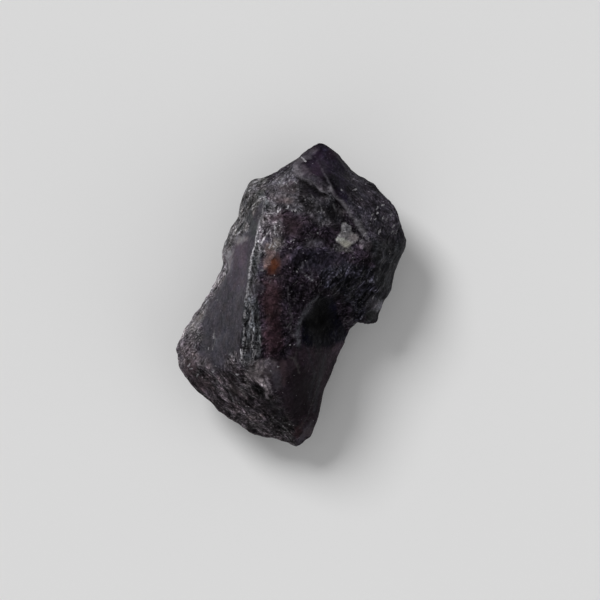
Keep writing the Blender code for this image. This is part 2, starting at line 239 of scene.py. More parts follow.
# Painted glints, single bright specks where broken facets catch the light: x, y, length in millimetres,
# heading in degrees, and how pale they are.
GLINTS = (
    (-5.6, 19, 0.5, 80, 0.8), (-3.4, 17.4, 0.4, 20, 0.8), (-2.2, 16.9, 0.3, 60, 0.9),
    (-0.9, 17, 0.4, 0, 0.6), (-3, 15.8, 0.3, 40, 0.7), (0.2, 16.6, 0.3, 40, 0.5),
    (-5.6, 12.3, 0.5, 100, 0.8), (-4.9, 15.8, 0.4, 60, 1.3), (-4.2, 16.1, 0.5, 30, 0.7),
    (-2.7, 16.4, 0.4, 20, 1.4), (-0.6, 17.2, 0.4, 80, 0.9), (0.7, 16.6, 0.4, 50, 0.6),
    (-4, 10.1, 0.5, 70, 0.7), (-3.2, 10, 0.4, 110, 0.6), (-4.3, 9.4, 0.5, 60, 0.7),
    (-3.4, 9.5, 0.7, 10, 0.8), (-5.9, 8.3, 0.7, 30, 0.5), (-6.6, 7.6, 0.6, 50, 0.4),
    (17.3, 16.2, 0.5, 60, 0.6), (18.3, 17.8, 0.4, 20, 0.6), (19.8, 15.8, 0.4, 60, 0.4),
    (17.6, 12.3, 0.8, 60, 0.5), (21.3, 12.4, 0.8, 60, 0.4), (16.7, 14.9, 0.4, 30, 0.5),
    (15.8, 14.9, 0.3, 60, 0.5), (20.3, 13.5, 0.6, 60, 0.4), (19, 14.9, 0.4, 60, 0.4),
    (0.8, 22.2, 0.7, -60, 0.7), (-0.4, 22.6, 0.5, 60, 0.6), (-1.7, 21.4, 0.4, 0, 0.4),
    (9.9, 20.6, 0.3, 0, 0.6), (12.6, 20.7, 0.8, 20, 0.5), (17.2, 17.2, 0.5, 70, 0.5),
    (18.4, 15.2, 0.5, 70, 0.5), (16.2, 15.8, 0.5, 30, 0.4), (17.6, 12.6, 0.6, 60, 0.4),
    (20.2, 12.4, 0.6, 55, 0.35), (5.2, 12, 0.4, 100, 0.5), (3.8, 3, 0.9, -40, 0.5),
    (2.9, 3.7, 0.5, 20, 0.35), (16.6, -0.9, 0.7, 60, 0.4), (-19.2, -10.4, 0.8, 60, 0.45),
    (-20.2, -15, 0.5, 20, 0.5), (-18.9, -16.4, 0.5, 60, 0.35), (-16.2, 2.6, 0.5, 60, 0.5),
    (-17.2, -0.2, 0.5, 60, 0.5), (-18.6, -4.4, 0.6, 60, 0.45), (-14.9, -1.2, 0.4, 0, 0.4),
    (-15.5, -8.4, 0.9, 90, 0.4), (-16.5, -10.8, 0.4, 60, 0.35), (-20.1, -11.6, 0.4, 0, 0.7),
    (-19.3, -12.7, 0.5, 70, 0.35), (-20.5, -14.2, 0.5, 60, 0.6), (-15.3, -14.4, 0.4, 20, 0.5),
    (-15.5, -15.4, 0.3, 0, 0.4), (-10.8, -16, 0.5, 150, 0.6), (-9.9, -11.8, 1.6, 100, 1.1),
    (-9.9, -13.2, 0.7, 110, 0.6), (-7.8, -10.2, 1.6, 100, 0.55), (-7.7, -12.2, 0.9, 80, 0.5),
    (-6.9, -11.4, 1.2, 95, 0.35), (-9.4, -7.4, 1, 85, 0.5), (-9.3, -4.2, 0.9, 95, 0.5),
    (-1.9, 22.6, 0.6, 80, 0.6), (-0.9, 21.8, 0.9, -60, 0.5), (-2.4, 21.8, 0.5, 30, 0.5),
    (-4, -15.2, 0.3, 0, 0.4), (-2.6, -14.4, 0.3, 0, 0.4), (10.4, 12.3, 0.25, 0, 0.8),
    (5.4, 16.4, 0.3, 20, 0.4), (14.4, 11.7, 0.9, 60, 0.45), (13.9, 10.7, 0.6, 30, 0.4),
    (15.3, 10.9, 0.6, 80, 0.35),
)
# Stains, and dark ones that are painted shade under the ledge, in the hollow and in a pit: x, y, half their
# length and width in millimetres, heading in degrees, colour and strength.
STAINS_AND_SHADOWS = (
    (-0.4, 21.2, 2.2, 1.2, 20, (0.07, 0.056, 0.06), 0.6),
    (-1.4, 18.8, 2, 1, 0, (0.07, 0.056, 0.058), 0.6),
    (-4.6, 11.2, 0.9, 0.5, 60, (0.018, 0.016, 0.022), 0.85),
    (-5, 10, 0.9, 0.6, 60, (0.08, 0.072, 0.094), 0.75),
    (-4.4, 8.6, 1.6, 1.1, 80, (0.104, 0.078, 0.076), 0.75),
    (-4.5, 7.4, 2.1, 0.9, 68, (0.165, 0.119, 0.121), 0.95),
    (-3.5, 5.5, 1.9, 0.9, 62, (0.088, 0.03, 0.015), 0.95),
    (-4.8, 6.2, 1.3, 0.45, 62, (0.18, 0.117, 0.115), 0.7),
    (-4.4, 4.5, 0.6, 0.45, 60, (0.045, 0.014, 0.014), 0.8),
    (-1.4, 6.7, 1.4, 0.7, 62, (0.056, 0.04, 0.052), 0.75),
    (-4, -1, 4.2, 2, 93, (0.0375, 0.02, 0.0235), 0.8),
    (-3.6, -8.2, 4.4, 2, 88, (0.028, 0.0145, 0.019), 0.85),
    (4.7, 7, 5.2, 2.6, 0, (0.016, 0.0155, 0.024), 0.55),
    (-2, 2.6, 2, 1, 80, (0.019, 0.013, 0.018), 0.6),
    (-0.2, 13.6, 2.4, 2.2, 90, (0.026, 0.0175, 0.022), 0.88),
    (-3, 15.2, 1.4, 0.8, 20, (0.045, 0.03, 0.038), 0.7),
    (5.6, 25.2, 2.6, 2, -60, (0.024, 0.0165, 0.0285), 0.8),
    (8.3, 28, 1.6, 1.1, -40, (0.0185, 0.0105, 0.0195), 0.9),
    (2.6, 24.4, 1.6, 1, -40, (0.066, 0.055, 0.07), 0.75),
    (1.9, 26.6, 1.6, 0.7, 35, (0.092, 0.083, 0.096), 0.8),
    (4, 28.2, 2, 0.7, 38, (0.054, 0.046, 0.058), 0.85),
    (5, 24.6, 1.4, 1, -45, (0.024, 0.0155, 0.0275), 0.8),
    (6.4, 25.6, 1.6, 0.6, -65, (0.022, 0.019, 0.027), 0.7),
    # Painted shadow under the ledge.
    (4.2, 20.2, 2.4, 0.9, -35, (0.014, 0.011, 0.0155), 0.8),
    (7.6, 16.6, 2.8, 1.2, -55, (0.015, 0.013, 0.017), 0.6),
    (4.5, 10.2, 2, 0.9, 10, (0.044, 0.041, 0.049), 0.7),
    (-6, 5.2, 2.2, 0.7, 80, (0.066, 0.058, 0.078), 0.7),
    (-7.2, 1, 2.4, 0.8, 85, (0.085, 0.078, 0.092), 0.6),
    (-6, 1.2, 1.2, 0.7, 85, (0.04, 0.034, 0.044), 0.6),
    (-1.3, -15, 2.4, 1.2, 20, (0.03, 0.021, 0.026), 0.7),
    (1.4, -27.2, 1.6, 0.8, 70, (0.04, 0.022, 0.025), 0.8),
    (3.2, -27.4, 1.8, 0.8, 65, (0.062, 0.052, 0.06), 0.85),
    (2, -29, 0.9, 0.6, 40, (0.07, 0.06, 0.074), 0.8),
    (-6.4, -15.2, 2.8, 1.5, -20, (0.088, 0.074, 0.08), 0.65),
    (-5.2, -13.6, 2, 0.9, 0, (0.08, 0.069, 0.076), 0.7),
    (-3.3, 9.9, 1.5, 1, 40, (0.125, 0.11, 0.094), 0.7),
    (-3, -16.4, 2.4, 1, -75, (0.056, 0.048, 0.056), 0.7),
    (-1.6, -15.8, 2.2, 0.6, 90, (0.054, 0.038, 0.044), 0.7),
    (1.5, -19.8, 6, 1.9, 85, (0.009, 0.006, 0.0082), 0.85),
    (-20, -14.6, 2.4, 1.3, 60, (0.066, 0.044, 0.052), 0.6),
    (-18, -18, 2, 1.2, -40, (0.048, 0.033, 0.038), 0.6),
    (-3.2, -23.2, 3, 1.4, -50, (0.0065, 0.0055, 0.0075), 0.75),
    (-12.9, 7, 2.6, 0.9, 95, (0.17, 0.15, 0.168), 0.8),
    (-7.6, 13.4, 3.6, 0.9, 107, (0.06, 0.062, 0.066), 0.9),
    (-10.4, 8, 3.2, 1.3, 100, (0.086, 0.068, 0.086), 0.8),
    # Painted shade in the hollow.
    (6, -5.8, 3.2, 2.4, 85, (0.0022, 0.0022, 0.0028), 0.95),
    (16.1, -4.6, 1.4, 1.2, 60, (0.0275, 0.028, 0.0288), 0.95),
    (16, -1.8, 1.8, 1, 50, (0.034, 0.032, 0.037), 0.7),
    (17.6, -2.4, 1.2, 0.8, 60, (0.09, 0.087, 0.095), 0.7),
    (-10.4, 10.8, 1.6, 0.8, 15, (0.185, 0.172, 0.184), 0.85),
    (-12.6, 8.4, 1.6, 0.8, 60, (0.165, 0.152, 0.168), 0.8),
    (10.2, 9.1, 2.2, 0.8, -8, (0.066, 0.063, 0.066), 0.75),
    (14.4, 10, 1.6, 0.9, -30, (0.086, 0.076, 0.088), 0.8),
    # Painted shade in the hollow.
    (4, -5.6, 2.6, 1.4, 80, (0.002, 0.002, 0.0025), 0.9),
    (-8.6, -11.8, 1.6, 0.7, 90, (0.016, 0.014, 0.017), 0.7),
    (-11.5, -16.8, 1.3, 0.8, 60, (0.009, 0.007, 0.0085), 0.85),
    (-11.5, -19.4, 1.2, 0.9, 60, (0.0125, 0.01, 0.011), 0.8),
    (13.5, 20.6, 3, 1.5, -45, (0.026, 0.023, 0.03), 0.6),
    (-18.8, -5.4, 1.9, 0.9, 60, (0.19, 0.175, 0.18), 0.85),
    # Painted shade in a pit.
    (-6.6, -18.7, 1.4, 0.9, -45, (0.006, 0.005, 0.007), 0.95),
    (-4.1, -4, 1.2, 0.7, 90, (0.04, 0.021, 0.024), 0.6),
)
# Marks on the pale chip, each given as a stain is.
CHIP_MARKS = (
    (11, 13, 1, 0.7, 90, (0.105, 0.103, 0.112), 0.8),
    (10, 13.2, 1.2, 0.22, 75, (0.17, 0.168, 0.175), 0.7),
    (12.4, 11.2, 1.1, 0.8, 0, (0.145, 0.128, 0.132), 0.85),
    (10.7, 9.9, 1.3, 0.7, -10, (0.33, 0.32, 0.28), 0.85),
    (9.9, 10.8, 0.9, 0.25, -12, (0.46, 0.47, 0.43), 0.8),
    (9.3, 10.8, 0.5, 0.4, 0, (0.2, 0.205, 0.19), 0.5),
)
# Soft painted light and shade, partly the stone's own lighter and darker tone: x, y, half their length and
# width in millimetres, how many stops lighter or darker, and a heading in degrees where they have one.
TONES = (
    (-14.3, -6.2, 1.1, 1.7, -0.7), (-15.9, -20.2, 1, 1.2, 1.2), (7.8, 19.6, 1.2, 0.9, 2),
    (-4.7, -11.2, 0.8, 1.6, 0.9), (-7.7, 17.5, 1.5, 1.1, -0.8, 60), (12.3, 2.4, 2, 1.3, -0.7),
    (-6.5, -2.2, 2.1, 1, -0.7), (-9.5, -9.2, 1.3, 2.1, -0.9), (-7.1, -22.9, 1.2, 1.2, 0.8),
    (-6.8, 21, 1.1, 1.4, -0.8), (-1.4, 22.7, 3.4, 1.5, 1, 15), (1.4, 21.4, 1.2, 1, -1.1),
    (-1.9, 19.4, 4, 1.1, 0.6), (2.9, 18.6, 1.8, 1.6, -1), (5, 16.9, 3, 1, -1.2),
    (8.9, 15.6, 1.4, 2.6, -1.7, 15), (7.8, 22.1, 1.9, 1.5, -1.6, -60), (12.3, 19.4, 3, 1.4, -0.5, -60),
    (17.4, 20.9, 2.4, 1.2, -0.9, -48), (19.3, 16.6, 3.2, 1.5, 1.2, -60), (12, 15, 1.8, 0.9, 0.8, -55),
    (12.8, 8.4, 3, 1.3, 1.2), (14.6, 10.8, 1.2, 0.9, 0.9), (15.5, 8.8, 1.1, 1, -1.6),
    (5.6, 28, 1.2, 1.1, 1.2), (5.8, 9.4, 1.4, 1, 1.2), (1.7, 9.5, 3.8, 0.9, 0.7, -5),
    (-1, 7.2, 1.8, 1.5, 0.8), (2.4, 7.2, 1.3, 1.3, -1), (2.1, 5.9, 1.7, 1.5, -1.7, -30),
    (2.7, 3, 1.6, 1.2, 0.7), (6.5, 7, 1.8, 0.9, -0.8), (10.9, 7.6, 2, 1, 0.7), (10.3, 5.7, 1, 1.4, 1.8),
    (13.9, 4.9, 1.7, 1, -1.9), (8.9, 5.2, 4.2, 1.9, 0.5, 15), (14.7, 1.2, 3.4, 1.2, 0.8, 50),
    (15.7, 1, 1.2, 1, 1.3, 60), (6.8, 4.2, 1, 0.9, 1.4), (2, 0.8, 3.8, 2, -0.6, 20),
    (0.7, -1, 3.2, 1.2, -1.1, 90), (9.4, -2.8, 1, 1.4, 1.4, 90), (9.3, 0.2, 1.4, 1.5, -0.9),
    (14.1, -1.4, 1.4, 0.9, -1.5, 55), (13.7, -2.6, 4, 1.4, 0.8, 20), (17.3, -2.2, 1.6, 0.9, 1.3, 65),
    (17.6, 3.2, 2.8, 1.6, -1.1, 80), (10.1, -3.8, 1, 1.4, -0.8), (5.7, -2.4, 3.6, 1.6, -2, 90),
    (5.3, -9.6, 3.2, 1.4, -0.6, 80), (3.7, -19.8, 4.6, 1.2, -0.7, 80), (9.6, -10.6, 2.6, 1.2, 1.2, 50),
    (3.4, -5.7, 2.7, 1, -1.2), (1.1, -8, 1.8, 0.9, 0.9, 80), (0, -5.1, 1.8, 1.2, 0.9),
    (-1.6, -6.4, 1.4, 0.7, -1.9), (-1.7, -3.1, 1.5, 0.8, 1.2, 90), (-2.6, -10.9, 1.8, 1, -1.1, 60),
    (-5.8, 11.4, 2.8, 0.8, 1.3, 100), (-1.1, 16.2, 4, 1, 0.8), (-4.6, 1.4, 2.8, 1.8, 0.6),
    (-8, -0.6, 1.4, 1, 0.9, 90), (-8.4, -7.2, 3.8, 0.8, -0.8, 90), (-5.2, -7, 1.8, 0.8, 1.9, 95),
    (-5.5, -4.8, 1.4, 1.8, 0.6), (-6.9, -8.8, 1, 1.4, -1.1), (-6.7, -11.8, 1, 1.7, -1.3),
    (-5, -13.8, 2.2, 1.1, 0.6), (-4.8, -15.8, 1.1, 1.2, -0.9), (-13.6, -17.6, 2.6, 1.1, 1.1, -80),
    (-12.5, -22, 3.4, 0.9, 0.7, -40), (-10.4, -23.8, 1.8, 1, 1), (-8.3, -24.2, 3.6, 1.6, 1.1, -30),
    (-9.1, -21.7, 1.4, 1.3, -2.2), (-6.5, -19, 1.6, 1.1, -2.4, -30), (-6.2, -21.6, 2.4, 1.8, -0.8),
    (-9.1, -16.8, 1.1, 1.3, -0.8), (-5.7, -14.6, 3, 2, 0.6, 20), (-2.5, -26.3, 2.8, 2, -1.7, -20),
    (17, 12.9, 1.4, 2.2, 0.7), (-5.2, -20.6, 1.2, 1.4, -1.1), (-18.9, -8, 1.1, 1.3, -1),
    (5.7, 11.2, 1.9, 1.2, -0.7),
)
# The outline of the pale chip.
CHIP = (
    (10, 13.6), (10.2, 14.2), (10.9, 14.1), (11.3, 13.7), (11.7, 13.6), (11.9, 12.9), (12.05, 12.2),
    (12.7, 12), (13.3, 11.6), (13.3, 11), (12.7, 10.2), (11.9, 9.8), (11.2, 9.2), (10.6, 9.25), (10.2, 9.6),
    (8.9, 10.4), (8.9, 11.1), (9.7, 12.1), (9.9, 12.7),
)
# Where the broken outline is fuller or leaner than the solid: x, y, reach and lift in millimetres.
SWELLS = (
    (17.1, 21.2, 1.8, 0.3), (22.4, 12.4, 1.4, -0.26), (22.7, 9, 1, 0.24), (19.4, 18.5, 1.2, -0.16),
    (12.8, 24.2, 1.8, -0.32), (4.4, 29.6, 1.2, -0.32), (2, 28.2, 0.8, 0.22), (8.4, 28.2, 1.4, 0.12),
    (-11, 15.4, 2, -0.28), (-13.9, 5.3, 1.6, -0.4), (-17.5, -1.2, 1.4, 0.36), (-20.5, -5.8, 1.2, -0.1),
    (-22.6, -12.9, 1.6, -0.28), (-23.1, -11.2, 0.7, 0.25), (-17.9, -20.1, 1.7, 0.26),
    (-13.6, -24, 1.8, 0.38), (-8, -27.6, 1.7, -0.32), (-4.8, -28.6, 1.5, -0.18), (2.5, -29, 0.9, -0.34),
    (9.3, -11.8, 1.5, -0.32), (14.6, -5.8, 1, 0.34), (17.3, -3.8, 1.1, -0.36), (-12, -25.2, 1.2, 0.2),
    (0.6, -29.8, 0.9, 0.26), (19.6, 0.2, 1.3, 0.24),
)
# The patches with crisp borders.
CRISP = ("plate", "flute", "crest_band", "cap", "lilac", "rust", "hollow")
# How each patch is broken: relief height and spacing in millimetres, heading in degrees and how far it is
# drawn out along it, then how coarse the grain is and how many painted glints it has, both from 0 to 1.
BREAKS = {
    "rim": (0.22, 1, 60, 1.6, 0.9, 0.6),
    "foot": (0.14, 0.9, 60, 1.4, 0.75, 0.6),
    "flute": (0.03, 1.6, 100, 3, 0.15, 0.12),
    "lilac": (0.02, 1.6, 100, 3, 0.05, 0),
    "waist": (0.22, 0.9, 60, 2.2, 0.9, 0.9),
    "lobe": (0.2, 1.1, 60, 1.6, 0.7, 0.5),
    "crest_band": (0.24, 0.8, 102, 3.4, 0.9, 0.6),
    "rust": (0.03, 1.4, 60, 1.6, 0.12, 0),
    "glitter": (0.26, 0.8, 80, 1.6, 1, 0.7),
    "lower_left": (0.34, 1, -45, 4.2, 0.9, 0.3),
    "column": (0.05, 2.2, -80, 3, 0.2, 0.08),
    "hollow": (0.07, 1.6, 50, 1.6, 0.35, 0),
    "streaks": (0.36, 0.9, 55, 3.6, 1, 0.2),
    "brow": (0.18, 0.9, 0, 1, 0.65, 0.5),
    "plate": (0.05, 1.4, -45, 2, 0.3, 0.05),
    "wedge": (0.06, 2, -60, 2, 0.3, 0.05),
    "cap": (0.06, 2, -60, 2, 0.3, 0.05),
    "shoulder": (0.15, 0.9, -45, 1.3, 0.7, 0.3),
    "right": (0.14, 1.2, 70, 2, 0.6, 0.2),
    "front": (0.24, 0.9, 50, 1.5, 0.9, 0.3),
    "under": (0.26, 2, 0, 1, 0.7, 0.3),
}
# How far each patch's finish is streaked down to the right, up to the right and upright.
LEANS = (
    {"lower_left": 1, "shoulder": 0.5, "cap": 0.6},
    {"streaks": 1, "rim": 0.7, "waist": 0.8, "lobe": 0.5, "right": 0.6, "front": 0.4},
    {"crest_band": 1, "flute": 0.6, "brow": 0.3, "glitter": 0.6},
)


def tint(name, description, colour):
    """A property that holds a colour."""
    return FloatVectorProperty(name=name, description=description, subtype="COLOR", default=colour)


def length(name, description, metres):
    """A property that holds a length."""
    return FloatProperty(name=name, description=description, unit="LENGTH", default=metres)


class Sizes(bpy.types.PropertyGroup):
    """Sizes of the lump's surface."""

    spacing: length("Mesh spacing", "Distance between points", 0.00029)
    softening: IntProperty(name="Softening", description="Passes that soften the solid's corners", default=8)
    chips: IntProperty(name="Chips", description="Small shell-shaped chips over the surface", default=1500)
    largest_chip: length("Largest chip", "Radius of the largest chip", 0.0026)
    smallest_chip: length("Smallest chip", "Radius of the smallest chip", 0.0006)


class Colours(bpy.types.PropertyGroup):
    """Colours of the lump's patches, ledge and chip."""

    rim: tint("Rim", "Pitted grey rim", (0.145, 0.14, 0.146))
    flute: tint("Flute", "Smooth grey flute", (0.054, 0.05, 0.06))
    foot: tint("Foot of the flute", "Granular foot of the flute", (0.057, 0.05, 0.056))
    lilac: tint("Lilac scar", "Milky lilac scar in the flute", (0.065, 0.056, 0.07))
    waist: tint("Waist", "Pale crumbled edge of the flute", (0.136, 0.124, 0.135))
    lobe: tint("Lobe", "Rosy grey lobe", (0.107, 0.093, 0.103))
    rust: tint("Rust", "Rusty wedge beside the crest", (0.044, 0.0275, 0.031))
    glitter: tint("Glitter", "Sparkling face right of the crest", (0.127, 0.113, 0.127))
    crest_band: tint("Crest band", "Broken band beside the crest", (0.062, 0.063, 0.069))
    lower_left: tint("Lower left", "Streaky brown face", (0.0419, 0.0347, 0.0397))
    column: tint("Column", "Plum column", (0.0176, 0.0119, 0.0166))
    # Nearly black: painted shade of the deep hollow over the stone's own dark colour.
    hollow: tint("Hollow", "Dark hollow", (0.0023, 0.0021, 0.0057))
    streaks: tint("Streaks", "Streaky slope", (0.0147, 0.0141, 0.0195))
    brow: tint("Brow", "Grey upper face", (0.059, 0.055, 0.063))
    plate: tint("Plate", "Milky plate at the foot of the cap", (0.04, 0.0355, 0.044))
    wedge: tint("Wedge", "Dark side of the cap", (0.0127, 0.0101, 0.0181))
    # The ledge's edge is milky and also carries a painted highlight where it catches the light.
    ledge: tint("Ledge", "Milky edge of the broken ledge", (0.125, 0.117, 0.13))
    cap: tint("Cap", "Violet cap", (0.006, 0.0036, 0.0078))
    shoulder: tint("Shoulder", "Right shoulder", (0.0269, 0.0239, 0.0308))
    right: tint("Right side", "Greenish grey right side", (0.0241, 0.0239, 0.0274))
    front: tint("Front", "Dark violet front", (0.0175, 0.0131, 0.019))
    chip: tint("Chip", "Pale milky chip", (0.174, 0.166, 0.173))
    under: tint("Underside", "Sides and underside", (0.03, 0.026, 0.031))


class Stage(bpy.types.PropertyGroup):
    """The floor, the lights and the camera."""

    floor_colour: tint("Floor", "Colour of the floor", (0.80, 0.80, 0.80))
    key_strength: FloatProperty(name="Key light", description="Strength of the key light", default=1.98)
    camera_height: length("Camera height", "Height of the camera over the lump", 1.5)
    view_width: length("View width", "Width of what the camera sees", 0.12)


# Shapes.


def eased(values, low, high):
    """From 0 at low to 1 at high, with soft ends."""
    share = np.clip((values - low) / (high - low), 0.0, 1.0)
    return share * share * (3.0 - 2.0 * share)


def bell(away, half_width):
    """1 on a line, falling off over a half width in millimetres."""
    return np.exp(-(away / (half_width * MM)) ** 2)


def over(colour, other, amount):
    """A colour for each point, with another laid over it by some amount."""
    return colour + (np.array(other) - colour) * amount[:, None]


def rippled(points, spacing, seed):
    """Smooth noise from about -1 to 1, with bumps a spacing apart."""
    shift = Vector((seed, 2.0 * seed, 3.0 * seed))
    return np.array([noise.noise(Vector(point) + shift) for point in points / spacing])


def jogged(points, spacing, seeds, reach):
    """Steps from noise, one to a seed, that make a border wander. The reach is in millimetres."""
    steps = [rippled(points, spacing, seed) for seed in seeds]
    return np.column_stack(steps) * reach * MM


def turned(points, heading, stretch):
    """Points squeezed along a heading in degrees and in height, so that noise on them is drawn out."""
    along = np.array((math.cos(math.radians(heading)), math.sin(math.radians(heading)), 0.0))
    squeezed = points - np.outer(points @ along, along) * (1.0 - 1.0 / stretch)
    squeezed[:, 2] /= 1.0 + 0.5 * (stretch - 1.0)
    return squeezed


def nearest_on_run(plan, run):
    """Distance from each plan point to a run of points, and which side of it each one is on."""
    best = np.full(len(plan), np.inf)
    side = np.zeros(len(plan))
    for start, end in zip(run, run[1:]):
        start, end = np.array(start) * MM, np.array(end) * MM
        step = end - start
        share = np.clip((plan - start) @ step / (step @ step), 0.0, 1.0)
        away = plan - start - np.outer(share, step)
        distance = np.hypot(away[:, 0], away[:, 1])
        nearer = distance < best
        best = np.where(nearer, distance, best)
        side = np.where(nearer, np.sign(step[0] * away[:, 1] - step[1] * away[:, 0]), side)
    return best, side


def inside_patch(plan, outline):
    """Distance inside a closed outline, below zero outside it."""
    closed = outline + outline[:1]
    distance, _ = nearest_on_run(plan, closed)
    x, y = plan[:, 0], plan[:, 1]
    within = np.zeros(len(plan), bool)
    for (x1, y1), (x2, y2) in zip(closed, closed[1:]):
        x1, y1, x2, y2 = x1 * MM, y1 * MM, x2 * MM, y2 * MM
        if y1 != y2:
            crosses = (y1 > y) != (y2 > y)
            within ^= crosses & (x < (x2 - x1) * (y - y1) / (y2 - y1) + x1)
    return np.where(within, distance, -distance)


def curled(points):
    """Points pushed about by slow noise, so that streaks on them bend."""
    return points + jogged(points, 3.2 * MM, (71.0, 73.0, 79.0), 0.6)


def fine_copy(node, sizes):
    """An even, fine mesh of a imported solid, with its coarse corners softened."""
    mesh = node.data.copy()
    closed = bmesh.new()
    closed.from_mesh(mesh)
    bmesh.ops.remove_doubles(closed, verts=closed.verts, dist=0.01 * MM)
    closed.to_mesh(mesh)
    closed.free()
    holder = bpy.data.objects.new("coarse", mesh)
    bpy.context.scene.collection.objects.link(holder)
    even = holder.modifiers.new("even", "REMESH")
    even.mode = "VOXEL"
    even.voxel_size = sizes.spacing
    soft = holder.modifiers.new("soft", "SMOOTH")
    soft.iterations = sizes.softening
    evaluated = holder.evaluated_get(bpy.context.evaluated_depsgraph_get())
    fine = bpy.data.meshes.new_from_object(evaluated)
    bpy.data.objects.remove(holder)
    bpy.data.meshes.remove(mesh)
    return fine


def read_vectors(source, name):
    """The vectors that a mesh keeps under a name, as rows."""
    values = np.zeros(len(source) * 3, np.float32)
    source.foreach_get(name, values)
    return values.reshape(-1, 3).astype(float)


def write_points(mesh, points):
    """Move the points of a mesh."""
    mesh.vertices.foreach_set("co", points.astype(np.float32).ravel())
    mesh.update()


def patch_shares(points, top):
    """How much each point belongs to each patch. What no patch takes is front on top and under elsewhere."""
    wander = jogged(points, 2.6 * MM, (3.0, 5.0), 0.8)
    even = points[:, :2] + 0.35 * wander
    ragged = points[:, :2] + wander + jogged(points, 0.9 * MM, (6.0, 8.0), 0.5)
    shares = {}
    for name, outline in PATCHES.items():
        plan, edge = ragged, 0.7 * MM
        if name in CRISP:
            # A crisp border softens low down. Only the flute's does so along an even line.
            guide = even if name == "flute" else ragged
            plan, edge = even, 0.3 * MM + 1.2 * MM * eased(-guide[:, 1], 11.5 * MM, 14.5 * MM)
        shares[name] = eased(inside_patch(plan, outline) / edge, -1.0, 1.0) * top
    left = top.copy()
    for name in PATCHES:
        shares[name] = np.minimum(shares[name], left)
        left -= shares[name]
    shares["front"] = left
    shares["under"] = 1.0 - top
    return shares


def broken(points, spacing, heading, stretch, seed):
    """Broken relief from about -1 to 1: swells and folds drawn out along a heading."""
    place = turned(points, heading, stretch)
    broad = rippled(place, spacing * 2.3, seed + 3.0)
    swell = rippled(place, spacing, seed)
    small = rippled(place, spacing * 0.45, seed + 1.0)
    fold = 1.0 - 4.0 * np.abs(rippled(place, spacing * 1.3, seed + 2.0))
    return 0.8 * broad + 0.7 * swell + 0.35 * small + 0.4 * fold


def chip_depth(points, coarseness, sizes):
    """How deep shell-shaped chips cut each point. They lie where the surface is coarse."""
    picker = random.Random(7)
    tree = kdtree.KDTree(len(points))
    for index, point in enumerate(points):
        tree.insert(point, index)
    tree.balance()
    depth = np.zeros(len(points))
    weights = np.cumsum(coarseness ** 1.5)
    for _ in range(sizes.chips):
        middle = int(np.searchsorted(weights, picker.random() * weights[-1]))
        size = picker.random() ** 2.2
        radius = sizes.smallest_chip + (sizes.largest_chip - sizes.smallest_chip) * size
        deepest = radius * picker.uniform(0.10, 0.20) * coarseness[middle]
        for _, index, distance in tree.find_range(points[middle], radius):
            depth[index] = max(depth[index], deepest * (1.0 - (distance / radius) ** 2))
    return depth


